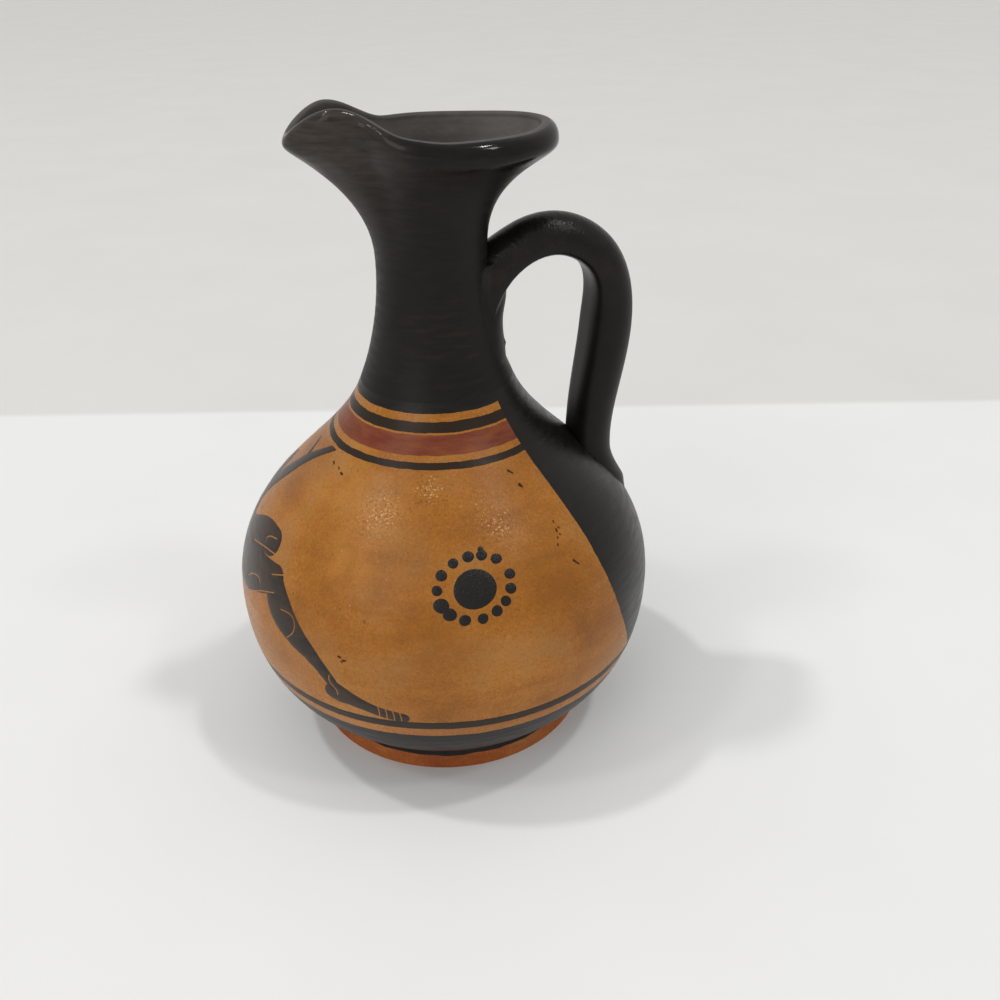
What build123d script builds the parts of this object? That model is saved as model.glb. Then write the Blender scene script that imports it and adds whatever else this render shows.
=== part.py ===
"""Small black-figure jug with a pinched spout, after the oinochoe form.

The pieces are the ones a potter joins at the leather-hard stage: a thrown body, a thrown neck with
its squeezed mouth, a turned disc foot and a pulled strap handle, with the slip that lutes them
together. Millimetres, +Z up. The origin is the centre of the resting face of the foot. The handle
is on +X and the spout on -X.
"""

import os
from math import cos, hypot, pi, sin

from build123d import *

# Foot
foot_radius = 34.5
foot_top_radius = 33.4
foot_height = 4.0
foot_edge_round = 0.8

# Slip layers between the joined pieces
foot_slip = 0.5
neck_slip = 0.5
handle_slip = 0.5

# Body, outside
base_radius = 33.6
base_pull = 6.5
belly_radius = 50.0
belly_height = 37.5
lower_fullness = 20.0
upper_fullness = 26.0
shoulder_fullness = 18.0
seam_radius = 17.3
seam_height = 88.0

# Body, inside
body_wall = 3.4
floor_thickness = 4.5
floor_radius = 26.0

# Neck
waist_radius = 12.2
waist_height = 114.0
neck_wall = 3.0

# Mouth, as thrown wide and then squeezed from both sides behind the spout
mouth_height = 139.5
back_flare = 3.0
spout_flare = 2.1
back_reach = 27.5
bowl_half_width = 18.4
bowl_centre = 4.0
pinch_half_width = 8.5
pinch_reach = 15.3
squeeze_ease = 3
lobe_half_width = 9.0
lobe_reach = 18.8
tip_reach = 28.3
lip_thickness = 3.6
lip_round = 1.35

# Edge of the mouth, seen from the side
rim_height = 141.7
rise_reach = 4.0
lobe_height = 146.8
tip_height = 141.6
tip_fall = (-1, -1)

# Handle: its arch over the neck's side, then its run down to the shoulder, inset from the belly's width
handle_start_reach = 5.0
handle_start_height = 102.5
handle_spring_reach = 9.5
handle_top_reach = 27.5
handle_top_height = 118.3
handle_outer_inset = 7.9
handle_outer_height = 100.0
handle_waist_inset = 12.1
handle_waist_height = 72.0
handle_foot_inset = 12.4
handle_foot_height = 62.5
handle_root_inset = 12.2
handle_root_height = 50.0

# Strap of the handle: flat towards the jug, round outside, swollen at its two roots
strap_flat_width = 11.34
strap_top_thickness = 8.2
strap_root_thickness = 10.2
strap_edge_round = 1.2
strap_sections = 12
root_share = 0.22
upper_swell = 0.12
lower_swell = 0.32

# Tail of handle clay smoothed down the neck under the upper root
tail_top = 109.0
tail_bottom = 92.0
tail_top_half_width = 5.6
tail_bottom_half_width = 3.9
tail_top_thickness = 3.2
tail_bottom_thickness = 0.16
tail_depth = 3.2
tail_sections = 4

# Places of the outline points and of the loft's sections, as shares of their stretch
bowl_angles = (0, pi / 4, pi / 2)
squeeze_shares = (0.5, 0.82, 1)
beak_shares = (0, 0.5, 0.88, 1)
neck_shares = (0.3, 0.65, 1)
flare_shares = (0.25, 0.5, 0.72, 0.88, 1)
lip_shares = (0.5, 1)

# Heights and radii where the pieces meet
body_bottom = foot_height + foot_slip
floor_height = body_bottom + floor_thickness
inside_radius = belly_radius - body_wall
throat_radius = seam_radius - neck_wall
neck_bottom = seam_height + neck_slip
loft_top = lobe_height + lip_thickness
seam_slope = 2 * (seam_radius - waist_radius) / (waist_height - seam_height)
shoulder_radius = seam_radius + seam_slope * shoulder_fullness


def between(start, end, share):
    """Value at this share of the way from start to end."""
    return start + (end - start) * share


def neck_radius(height):
    """Outside radius of the round neck, which eases from the seam into its waist."""
    share = max(0.0, (waist_height - height) / (waist_height - seam_height))
    return between(waist_radius, seam_radius, share**2)


def flare(height, angle):
    """Share of the mouth's full outline at this height, from 0 on the neck to 1 at the rim."""
    share = (height - waist_height) / (mouth_height - waist_height)
    power = between(spout_flare, back_flare, (1 + cos(angle)) / 2)
    return min(1.0, max(0.0, share)) ** power


def bowl_point(angle):
    """Point on the round back of the mouth, at this angle from the handle's side."""
    along = (back_reach - bowl_centre) * cos(angle)
    return (bowl_centre + along, bowl_half_width * sin(angle))


def squeeze_point(share):
    """Point on the way from the widest place of the bowl, at 0, to the pinch, at 1."""
    half_width = between(bowl_half_width, pinch_half_width, share**squeeze_ease)
    return (between(bowl_centre, -pinch_reach, share), half_width)


def beak_point(share):
    """Point on the spout's parabola, from its lobe, at 0, to its tip, at 1."""
    return (between(-lobe_reach, -tip_reach, share), lobe_half_width * (1 - share) ** 0.5)


def closed_outline(half):
    """Whole outline from its half on +Y, which runs from the back to the tip of the spout."""
    mirrored = [(x, -y) for x, y in reversed(half[1:-1])]
    return half + mirrored


def inset_outline(points, depth):
    """Outline moved inward by depth, each point square to the line between its neighbours."""
    moved = []
    count = len(points)
    for index, (x, y) in enumerate(points):
        before = points[index - 1]
        after = points[(index + 1) % count]
        along_x = after[0] - before[0]
        along_y = after[1] - before[1]
        length = hypot(along_x, along_y)
        moved.append((x - depth * along_y / length, y + depth * along_x / length))
    return moved


def outline_shares(points):
    """Share of the whole way round at which each point lies, with 1 at the closing point."""
    steps = [hypot(b[0] - a[0], b[1] - a[1]) for a, b in zip(points, points[1:] + points[:1])]
    shares = [0.0]
    for step in steps:
        shares.append(shares[-1] + step / sum(steps))
    return shares


mouth_half = [bowl_point(angle) for angle in bowl_angles]
mouth_half += [squeeze_point(share) for share in squeeze_shares]
mouth_half += [beak_point(share) for share in beak_shares]
mouth_outline = closed_outline(mouth_half)
mouth_inside = inset_outline(mouth_outline, lip_thickness)
mouth_shares = outline_shares(mouth_outline)

section_heights = [neck_bottom]
section_heights += [between(seam_height, waist_height, share) for share in neck_shares]
section_heights += [between(waist_height, mouth_height, share) for share in flare_shares]
section_heights += [between(mouth_height, loft_top, share) for share in lip_shares]


def neck_section(height, outline, wall):
    """Closed curve between the round neck and the mouth's outline, at one height."""
    radius = neck_radius(height) - wall
    points = []
    for (x, y), share in zip(outline, mouth_shares):
        angle = 2 * pi * share
        blend = flare(height, angle)
        point_x = between(radius * cos(angle), x, blend)
        point_y = between(radius * sin(angle), y, blend)
        points.append((point_x, point_y))
    return Edge.make_spline(points, periodic=True, parameters=mouth_shares)


def body_form(grow):
    """Outside of the thrown body as one filled form, with its side grown outward."""
    with BuildPart() as form:
        with BuildSketch(Plane.XZ):
            with BuildLine():
                Line((0, body_bottom), (base_radius + grow, body_bottom))
                Bezier(
                    (base_radius + grow, body_bottom),
                    (base_radius + base_pull + grow, body_bottom + base_pull),
                    (belly_radius + grow, belly_height - lower_fullness),
                    (belly_radius + grow, belly_height),
                )
                Bezier(
                    (belly_radius + grow, belly_height),
                    (belly_radius + grow, belly_height + upper_fullness),
                    (shoulder_radius + grow, seam_height - shoulder_fullness),
                    (seam_radius + grow, seam_height),
                )
                Polyline((seam_radius + grow, seam_height), (0, seam_height), (0, body_bottom))
            make_face()
        revolve(axis=Axis.Z)
    return form.part


def neck_form(outline, wall):
    """Neck and mouth as one filled form through its sections, inset by the wall on the round neck."""
    with BuildPart() as form:
        for height in section_heights:
            with BuildSketch(Plane.XY.offset(height)):
                with BuildLine():
                    add(neck_section(height, outline, wall))
                make_face()
        loft()
    return form.part


body_outside = body_form(0)
body_with_slip = body_form(handle_slip)
neck_outside = neck_form(mouth_outline, 0)
neck_with_slip = neck_form(inset_outline(mouth_outline, -handle_slip), -handle_slip)
neck_inside = neck_form(mouth_inside, neck_wall)

# Disc foot, turned, with a soft edge
with BuildPart() as foot:
    with BuildSketch(Plane.XZ):
        with BuildLine():
            Polyline(
                (0, 0),
                (foot_radius, 0),
                (foot_top_radius, foot_height),
                (0, foot_height),
                close=True,
            )
        make_face()
    revolve(axis=Axis.Z)
    fillet(foot.edges().filter_by(GeomType.CIRCLE).group_by(Axis.Z)[0], foot_edge_round)
foot.part.label = "foot"

# Slip between foot and body
with BuildPart() as foot_luting:
    with BuildSketch(Plane.XY.offset(foot_height)):
        Circle(min(base_radius, foot_top_radius) - foot_slip)
    extrude(amount=foot_slip)
foot_luting.part.label = "foot_luting"

# Thrown body: the form with its hollow taken out
with BuildPart() as body:
    add(body_outside)
    with BuildSketch(Plane.XZ):
        with BuildLine():
            Line((0, floor_height), (floor_radius, floor_height))
            Bezier(
                (floor_radius, floor_height),
                (floor_radius + base_pull, floor_height),
                (inside_radius, belly_height - lower_fullness),
                (inside_radius, belly_height),
            )
            Bezier(
                (inside_radius, belly_height),
                (inside_radius, belly_height + upper_fullness - body_wall),
                (shoulder_radius - neck_wall, seam_height - shoulder_fullness),
                (throat_radius, seam_height),
            )
            Polyline((throat_radius, seam_height), (0, seam_height), (0, floor_height))
        make_face()
    revolve(axis=Axis.Z, mode=Mode.SUBTRACT)
body.part.label = "body"

# Slip between body and neck
with BuildPart() as neck_luting:
    with BuildSketch(Plane.XY.offset(seam_height)):
        Circle(neck_radius(neck_bottom))
        Circle(throat_radius, mode=Mode.SUBTRACT)
    extrude(amount=neck_slip)
neck_luting.part.label = "neck_luting"

# Thrown neck with its squeezed mouth: bored, cut to the rim's wave and rounded at the lip
with BuildPart() as neck:
    add(neck_outside)
    add(neck_inside, mode=Mode.SUBTRACT)
    with BuildSketch(Plane.XZ):
        with BuildLine():
            back_line = Line((back_reach + lip_thickness, rim_height), (-rise_reach, rim_height))
            rim_line = Spline(
                back_line @ 1,
                (-lobe_reach, lobe_height),
                (-tip_reach, tip_height),
                tangents=(back_line % 1, tip_fall),
            )
            Polyline(
                rim_line @ 1,
                (-tip_reach - lip_thickness, tip_height - lip_thickness),
                (-tip_reach - lip_thickness, loft_top + lip_thickness),
                (back_reach + lip_thickness, loft_top + lip_thickness),
                back_line @ 0,
            )
        make_face()
    extrude(amount=belly_radius, both=True, mode=Mode.SUBTRACT)
    fillet(neck.edges(Select.LAST), lip_round)
neck.part.label = "neck"


def arch_point(angle):
    """Point on the handle's arch, which spreads less on its outer side than towards the neck."""
    spread = belly_radius - handle_outer_inset if angle > 0 else handle_spring_reach
    reach = between(handle_top_reach, spread, abs(sin(angle)))
    return (reach, between(handle_outer_height, handle_top_height, cos(angle)))


# Centre line of the handle, from inside the neck wall to inside the shoulder
with BuildLine(Plane.XZ) as handle_path:
    Spline(
        (handle_start_reach, handle_start_height),
        arch_point(-pi / 4),
        arch_point(0),
        arch_point(pi / 4),
        arch_point(pi / 2),
        (belly_radius - handle_waist_inset, handle_waist_height),
        (belly_radius - handle_foot_inset, handle_foot_height),
        (belly_radius - handle_root_inset, handle_root_height),
    )


def strap_swell(share):
    """Growth of the strap at its two roots, 1 between them."""
    upper = max(0.0, 1 - share / root_share)
    lower = max(0.0, 1 - (1 - share) / root_share)
    return 1 + upper_swell * upper**2 + lower_swell * lower**2


def strap_section(share):
    """Strap section across the path: round outside, flat towards the jug."""
    line = handle_path.line
    plane = Plane(origin=line @ share, x_dir=(0, 1, 0), z_dir=line % share)
    flat = strap_flat_width / 2 * strap_swell(share)
    rise = between(strap_top_thickness, strap_root_thickness, share) / 2 * strap_swell(share)
    with BuildSketch(plane) as section:
        with BuildLine():
            Line((-flat, -rise), (flat, -rise))
            ThreePointArc((flat, -rise), (0, rise), (-flat, -rise))
        make_face()
        fillet(section.vertices(), strap_edge_round)
    return section.sketch


# Pulled strap and its smoothed tail, still running into the neck and the shoulder
with BuildPart() as strap:
    for step in range(strap_sections):
        add(strap_section(step / (strap_sections - 1)))
    loft()
    for step in range(tail_sections):
        share = step / (tail_sections - 1)
        height = between(tail_bottom, tail_top, share)
        thickness = between(tail_bottom_thickness, tail_top_thickness, share)
        half_width = between(tail_bottom_half_width, tail_top_half_width, share)
        with BuildSketch(Plane.XY.offset(height)):
            with Locations((neck_radius(height) - tail_depth, 0)):
                Ellipse(tail_depth + thickness, half_width)
    loft()

# Handle, cut to the slip that it is pressed on
with BuildPart() as handle:
    add(strap.part)
    add(neck_with_slip, mode=Mode.SUBTRACT)
    add(body_with_slip, mode=Mode.SUBTRACT)
handle.part.label = "handle"

# Slip under the handle's upper root
with BuildPart() as upper_handle_luting:
    add(strap.part)
    add(neck_with_slip, mode=Mode.INTERSECT)
    add(neck_outside, mode=Mode.SUBTRACT)
upper_handle_luting.part.label = "upper_handle_luting"

# Slip under the handle's lower root
with BuildPart() as lower_handle_luting:
    add(strap.part)
    add(body_with_slip, mode=Mode.INTERSECT)
    add(body_outside, mode=Mode.SUBTRACT)
lower_handle_luting.part.label = "lower_handle_luting"

os.makedirs("parts", exist_ok=True)
export_step(foot.part, "parts/foot.step")
export_step(foot_luting.part, "parts/foot_luting.step")
export_step(body.part, "parts/body.step")
export_step(neck_luting.part, "parts/neck_luting.step")
export_step(neck.part, "parts/neck.step")
export_step(handle.part, "parts/handle.step")
export_step(upper_handle_luting.part, "parts/upper_handle_luting.step")
export_step(lower_handle_luting.part, "parts/lower_handle_luting.step")
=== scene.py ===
"""Looks of the black-figure jug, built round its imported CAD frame.

Sizes are in millimetres and degrees, in the CAD's own frame: +Z up, the handle on +X, the spout on -X.
A place on the belly is written as (azimuth, height), with azimuth 0 at the handle and 180 at the spout.
"""

from math import cos, degrees, pi, radians, sin

import bpy
import numpy as np
from mathutils import Matrix, Vector
from mathutils.geometry import delaunay_2d_cdt
from mathutils.kdtree import KDTree


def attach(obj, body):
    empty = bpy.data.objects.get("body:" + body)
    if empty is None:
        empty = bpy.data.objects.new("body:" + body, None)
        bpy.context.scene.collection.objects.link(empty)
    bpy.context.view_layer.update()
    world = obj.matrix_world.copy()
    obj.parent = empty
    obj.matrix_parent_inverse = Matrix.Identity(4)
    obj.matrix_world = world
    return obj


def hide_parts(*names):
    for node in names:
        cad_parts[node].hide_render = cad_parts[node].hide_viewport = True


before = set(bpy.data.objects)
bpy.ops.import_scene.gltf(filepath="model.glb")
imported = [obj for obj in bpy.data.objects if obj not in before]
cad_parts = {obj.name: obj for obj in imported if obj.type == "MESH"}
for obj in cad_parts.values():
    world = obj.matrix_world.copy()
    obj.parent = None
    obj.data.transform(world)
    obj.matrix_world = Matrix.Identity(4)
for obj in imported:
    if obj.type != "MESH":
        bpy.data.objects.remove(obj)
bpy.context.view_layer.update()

METRES = 0.001

# Option of the triangle fill that keeps only what lies inside closed outlines
FILL_INSIDE = 1

# Foot and body, as in the CAD
foot_radius = 34.5
foot_top_radius = 33.4
foot_edge_round = 0.8
foot_rim_bulge = 0.15
foot_rim_drop = 0.9
foot_slip_height = 3.2
foot_slip_waver = 0.25
body_bottom = 4.5
base_radius = 33.6
base_pull = 6.5
belly_radius = 50.0
belly_height = 37.5
lower_fullness = 20.0
upper_fullness = 26.0
shoulder_fullness = 18.0
seam_radius = 17.3
seam_height = 88.0
body_wall = 3.4
floor_height = 9.0
floor_radius = 26.0

# Neck and mouth, as in the CAD but for the clay's softer turns
waist_radius = 12.2
waist_height = 114.0
neck_wall = 3.0
mouth_height = 136.5
spout_mouth_height = 138.6
back_flare = 3.3
spout_flare = 2.3
inside_flare = 1.8
back_reach = 27.9
bowl_half_width = 18.4
bowl_centre = 4.0
pinch_half_width = 9.0
pinch_reach = 15.0
squeeze_ease = 2.6
lobe_half_width = 9.0
lobe_reach = 19.0
tip_reach = 29.2
lip_thickness = 3.6
spout_lip_thickness = 2.4
rim_height = 142.1
near_dip = 1.2
rise_reach = 7.5
lobe_height = 146.8
tip_height = 141.6
tip_slope = 1.0

# Lip: its crest lies near the inside; its outer face rolls down over the neck, less so towards the spout
lip_crest = 0.7
lip_roll = 3.1
spout_roll = 2.4
roll_start = -13.0
roll_end = 3.0
lip_inner_round = 0.9
lip_gloss = 0.1
seam_calm = 4.6
rim_wander = 0.1

# Handle, as in the CAD but for the sweep of its upper root
handle_path_points = [
    (7.6, 102.5),
    (11.6, 109.4),
    (16.2, 114.3),
    (21.2, 117.2),
    (27.5, 118.2),
    (37.6, 112.9),
    (41.7, 100.0),
    (37.5, 72.0),
    (37.1, 62.5),
    (37.4, 50.0),
]
strap_flat_width = 11.34
strap_top_thickness = 8.2
strap_root_thickness = 10.2
root_share = 0.22
upper_swell = 0.12
lower_swell = 0.32
inner_bulge = 1.6
inner_skew = 0.13
inner_square = 0.55
bulge_start = 0.38
bulge_full = 0.55
bulge_end = 0.85
upper_root_fillet = 0.5
lower_root_fillet = 2.0
root_fillet_reach = 4.6
root_fillet_limit = 1.2
clearance_lean = 0.8
core_reach = 8.0
tail_edge_points = [
    (16.0, 90.5),
    (15.6, 96.0),
    (15.6, 101.0),
    (16.3, 104.5),
    (17.0, 108.8),
    (19.0, 111.5),
    (22.0, 113.4),
]
tail_width = 7.0
tail_sink = 0.25
tail_root = 2.2
tail_sides_radians = (1.1, 1.4)
clay_blob = (14.9, -2.4, 94.6)
clay_blob_size = (0.9, 0.8, 1.3)
blob_pole_radians = 0.1

# Lighter, browner slip towards the spout: where along X it is full and where it ends
pale_slip_full_reach = -17.0
pale_slip_end_reach = -4.0

# Heights between which the handle's ripples grow and its slip turns from matt to glossy
handle_ripple_heights = (106.0, 114.0)
handle_gloss_heights = (104.0, 116.0)

# Marks of the hand: how far thrown walls wander, and the turning ridges on them
throwing_wander = 0.05
ridge_depth = 0.012
ridge_spacing = 2.3

# Mesh fineness
around_count = 288
profile_step = 0.5
hidden_step = 1.4
curve_count = 200
cap_radius = 1.0
foot_edge_rows = 12
neck_rows = 130
neck_levels = 240
lip_rows = 14
# Lip row where the dusty inside slip starts, just outside the crest, so that the crest shows a pale line: a
# painted highlight
dust_and_sheen_from = 5
soften_passes = 14
path_rows = 220
strap_columns = 72
tail_rows = 60
blob_rows = 16
blob_columns = 24
core_rows = 60
handle_voxel = 0.35
handle_smoothing = 12
crisp_angle = 40.0

# Painted bands of the body from the base up: the height where each starts, and its slip
bands = [
    (0.0, "black"),
    (21.6, "clay"),
    (24.5, "line"),
    (26.75, "clay"),
    (76.1, "line"),
    (77.3, "clay"),
    (78.4, "red"),
    (81.65, "clay"),
    (82.35, "line"),
    (84.1, "clay"),
    (85.55, "black"),
]
band_scale = 100.0

# Edge of the orange panel, in degrees each way from the spout
panel_half_width = 126.0
panel_lean = 0.06
panel_lean_height = 85.0
panel_swing = 0.0125
panel_swing_height = 56.0

# Painted figure, in brush strokes of (azimuth, height, half width): bent forward, one leg stretched back
figure_strokes = [
    [(198.2, 57.5, 3.3), (191, 57.0, 3.7), (184, 55.4, 3.6), (176, 52.0, 4.2), (168, 50.5, 4.8)],
    [(206, 52.2, 3.3), (197, 50.4, 4.6), (188, 49.2, 5.6), (179, 50.5, 6.4)],
    [(207, 50.8, 3.5), (211.4, 47.0, 4.0), (217, 43.6, 3.2), (222, 40.9, 2.3)],
    [(222, 40.9, 2.3), (226.2, 37.6, 1.7), (228.6, 35, 1.6)],
    [(229.2, 33.4, 1.6), (227.8, 31.2, 1.1), (229.4, 30.6, 1.0), (233, 30.8, 1.3)],
    [(229.2, 34.0, 1.7), (231.6, 32.3, 2.2), (236.5, 30.6, 1.7), (241.5, 29.2, 1.5), (247.4, 28.2, 1.4)],
    [(166, 56.5, 3.0), (168.6, 62, 2.6), (174.2, 67, 2.1)],
    [(174.2, 67, 2.1), (181.2, 71.2, 1.4), (189, 73.9, 1.0), (195.2, 75.6, 0.9)],
    [(176.8, 70.8, 0.8), (174.4, 72.6, 0.55), (172.4, 73.8, 0.4)],
    [(190, 49.5, 6.0), (177, 46.5, 4.8), (166, 43.5, 3.6)],
    [(166, 43.5, 3.4), (170.5, 38, 2.7), (175, 33, 1.5)],
    [(176, 30.6, 1.5), (170, 30.4, 2.0), (163, 29, 1.3), (158, 28.4, 0.8)],
    [(167.5, 54.5, 3.8), (158, 51.5, 2.6), (149, 51, 2.2), (141.5, 55, 1.6), (136.5, 59.5, 1.0)],
    [(142, 55.2, 1.1), (140.8, 58.6, 0.7), (140.4, 61, 0.4)],
    [(167, 56.5, 3.0), (161.5, 60.5, 2.5)],
]
head_outline = [
    (164.5, 60.0),
    (165.2, 63.0),
    (162.8, 66.0),
    (158.5, 67.0),
    (154.6, 65.6),
    (153.3, 63.8),
    (151.7, 62.3),
    (153.0, 61.6),
    (152.8, 60.6),
    (153.4, 59.4),
    (155.6, 58.6),
    (159.5, 59.0),
]
figure_incisions = [
    [(193.6, 56.9), (195.8, 58.0), (199.3, 58.5)],
    [(185.9, 53.8), (194.7, 55.5), (202.4, 56.2)],
    [(204.2, 52.6), (209.4, 54.1)],
    [(190.6, 46.9), (193.5, 48.7), (197.6, 49.6), (199.4, 48.9)],
    [(195.8, 45.3), (201.8, 47.9), (207.4, 49.6)],
    [(211.4, 47.3), (214.9, 47.5), (217.1, 46.0), (216.5, 43.4), (214.5, 41.7)],
    [(228.3, 36.6), (228.4, 34.4), (229.8, 33.1), (230.0, 31.6)],
    [(241.0, 31.1), (241.2, 29.5), (241.1, 27.6)],
    [(242.9, 30.8), (243.1, 29.2), (243.0, 27.3)],
    [(244.7, 30.4), (245.0, 28.7), (244.9, 26.9)],
    [(246.5, 30.0), (246.8, 28.4), (246.7, 26.6)],
    [(172, 44.8), (169.4, 42.4), (170.2, 40.0)],
    [(174.6, 54.6), (170.6, 57.2), (168.0, 60.4)],
    [(156.4, 66.0), (158.4, 63.8), (160.6, 62.8), (161.6, 60.6)],
    [(155.0, 63.4), (156.2, 63.9), (157.3, 63.4)],
    [(155.1, 63.2), (156.2, 62.9), (157.3, 63.3)],
]
incision = 0.13
figure_thickness = 0.06

# Rosette of a disc in a ring of dots, by their clock angles, on each side of the jug
rosettes = [("painted_rosette", 267.6, 1), ("painted_rosette_far", 92.4, -1)]
rosette_height = 57.7
rosette_disc = (4.5, 4.2)
rosette_disc_drop = 0.35
rosette_disc_turn = 0.4
rosette_ring = (8.0, 6.6)
rosette_tilt = -15
rosette_clocks = (20, 46, 79, 101, 122, 144, 172, 203, 228, 246, 269, 294, 324, 355)
rosette_dot = 1.2
rosette_big_dots = {8: 1.45, 9: 1.65}
rosette_touch = (0.9, 0.65)
dot_variation = 0.05
dot_flatness = 0.95
dab_waves = (0.025, 0.015)
dot_thickness = 0.12

# Scorch marks and grit on the panel, in strokes of (azimuth, height, half width)
mark_strokes = [
    [(291.6, 74.2, 0.3), (293.2, 73.6, 0.2)],
    [(293.6, 71.6, 0.4), (294.2, 71.2, 0.3)],
    [(298.9, 64.6, 0.2), (298.7, 64.3, 0.15)],
    [(299.3, 63.4, 0.15), (299.6, 63.2, 0.15)],
    [(298.3, 63.2, 0.25), (298.1, 62.8, 0.2)],
    [(298.6, 62.3, 0.2), (298.8, 62.1, 0.15)],
    [(297.4, 62.0, 0.2), (297.2, 61.8, 0.2)],
    [(296.3, 61.0, 0.15), (296.1, 60.8, 0.2)],
    [(299.0, 57.3, 0.3), (300.2, 56.3, 0.2)],
    [(231.6, 42.4, 0.3), (232.1, 42.3, 0.25)],
    [(232.8, 41.7, 0.3), (233.5, 41.8, 0.2)],
    [(232.2, 41.3, 0.15), (232.5, 41.2, 0.2)],
    [(201.0, 73.7, 0.3), (202.2, 73.5, 0.2)],
    [(206.2, 73.5, 0.15), (207.2, 73.3, 0.2)],
    [(209.6, 72.9, 0.25), (210.8, 72.8, 0.3)],
]
mark_thickness = 0.02

# Paint meshes: step of outlines and fill, thinning at the edge, and how the skin sits on the body
outline_step = 0.4
least_stroke_points = 8
least_dab_points = 20
stroke_end_points = 10
points_per_corner = 8
fill_step = 1.0
weld_distance = 1e-5
flat_scale = np.array([0.8, 1.15])
paint_edge = 0.35
edge_lift = 0.01
paint_root = 0.2

# Colours, linear
clay_dark = (0.265, 0.091, 0.0105, 1)
clay_mid = (0.370, 0.135, 0.0165, 1)
clay_light = (0.48, 0.198, 0.036, 1)
clay_grey = (0.27, 0.135, 0.05, 1)
clay_fleck = (0.70, 0.40, 0.16, 1)
clay_stain = (0.11, 0.045, 0.014, 1)
mark_dark = (0.030, 0.013, 0.005, 1)
mark_light = (0.075, 0.032, 0.010, 1)
foot_dark = (0.29, 0.064, 0.010, 1)
foot_mid = (0.41, 0.106, 0.015, 1)
foot_light = (0.53, 0.18, 0.045, 1)
slip_black = (0.0048, 0.0041, 0.0036, 1)
slip_grey = (0.0095, 0.0080, 0.0070, 1)
line_slip = (0.020, 0.0105, 0.004, 1)
slip_brown = (0.019, 0.013, 0.0095, 1)
pale_spout_slip = (0.058, 0.045, 0.037, 1)
dusty_slip = (0.055, 0.047, 0.043, 1)
dusty_slip_light = (0.10, 0.086, 0.078, 1)
figure_dark = (0.0125, 0.0070, 0.0042, 1)
figure_brown = (0.036, 0.0170, 0.0075, 1)
slip_red = (0.160, 0.032, 0.013, 1)
slip_red_thin = (0.235, 0.063, 0.019, 1)
table_colour = (0.91, 0.91, 0.895, 1)
wall_colour = (0.79, 0.78, 0.755, 1)
backdrop_colour = (0.64, 0.635, 0.615, 1)

# Soft patches on the panel, as (azimuth, height, reach, colour): the first is a painted sheen where the left
# lamp's highlight falls, the others are lighter and darker patches
panel_patches_and_sheen = [
    # Painted sheen where the left lamp's highlight falls
    (235.8, 68.7, 12.0, clay_light),
    (217.0, 72.0, 10.0, clay_light),
    (229.0, 60.0, 9.0, clay_light),
    (247.6, 62.8, 8.0, clay_grey),
    (244.2, 54.9, 9.0, clay_dark),
    (290.0, 55.0, 13.0, clay_dark),
    (258.0, 47.0, 12.0, clay_dark),
]

# Painted highlights on the panel: clusters of pale grains and dark pits where the lamps' highlights fall, as
# (azimuth, height, reach)
painted_sparkle_places = [
    (236.3, 68.6, 9.0),
    (278.3, 66.8, 8.0),
    (255.0, 73.0, 6.0),
]

# Camera, from the perspective of the photo, in a frame that is turned back to the CAD's by handle_turn
photo_width = 1000
focal_pixels = 1000
sensor_width = 36.0
handle_turn = 10.0
camera_distance = 213.95
camera_height = 173.95
camera_pitch = 29.225
camera_yaw = 3.738
camera_roll = 0.887
camera_clip = 10.0

# Table, from the camera to its back edge
table_depth = 391.0
table_edge_softness = 2.0
floor_half_width = 20000.0

# Ceiling lights as (name, direction, strength)
ceiling_lights = [
    ("left_ceiling_light", (-0.41, 0.18, 0.90), 0.52),
    ("right_ceiling_light", (0.36, -0.12, 0.93), 0.41),
]
ceiling_light_angle = 4.0

# Lamps as (name, direction, size, watts)
lamps = [
    ("left_lamp", (-0.58, -0.12, 0.80), 250.0, 4.0),
    ("right_lamp", (0.46, -0.41, 0.79), 250.0, 4.0),
    ("left_window", (-0.66, -0.56, 0.50), 1200.0, 8.0),
]
lamp_distance = 2400.0

# Light of the room, from below to above
room_low_light = 0.40
room_high_light = 0.57


def between(start, end, share):
    """Value at this share of the way from start to end."""
    return start + (end - start) * share


def ease(share):
    """Smooth step from 0 to 1."""
    share = np.clip(share, 0, 1)
    return share * share * (3 - 2 * share)


def bezier(points, count):
    """Points along a cubic curve."""
    share = np.linspace(0, 1, count)[:, None]
    a, b, c, d = (np.array(point, float) for point in points)
    rest = 1 - share
    return a * rest**3 + 3 * b * rest**2 * share + 3 * c * rest * share**2 + d * share**3


def full_turn(count):
    """Angles at even steps once round."""
    return np.linspace(0, 2 * pi, count, endpoint=False)


def unit(vectors):
    """The same vectors with a length of 1."""
    return vectors / np.linalg.norm(vectors, axis=1)[:, None]


def spline_slopes(knots, points, closed):
    """Slopes at the knots of the smoothest cubic curve through the points."""
    count = len(points)
    rows = np.zeros((count, count))
    wanted = np.zeros(points.shape)
    for index in range(count):
        inner = closed or 0 < index < count - 1
        before = (index - 1) % count
        after = (index + 1) % count
        if inner:
            step_in = knots[index] - knots[index - 1] if index else knots[-1] - knots[-2]
            step_out = knots[index + 1] - knots[index]
            rows[index, before] += 1 / step_in
            rows[index, index] += 2 / step_in + 2 / step_out
            rows[index, after] += 1 / step_out
            rise_in = (points[index] - points[before]) / step_in**2
            rise_out = (points[after] - points[index]) / step_out**2
            wanted[index] = 3 * (rise_in + rise_out)
        else:
            near = 1 if index == 0 else count - 2
            rows[index, index] = 2
            rows[index, near] = 1
            wanted[index] = 3 * (points[near] - points[index]) / (knots[near] - knots[index])
    return np.linalg.solve(rows, wanted)


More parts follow.
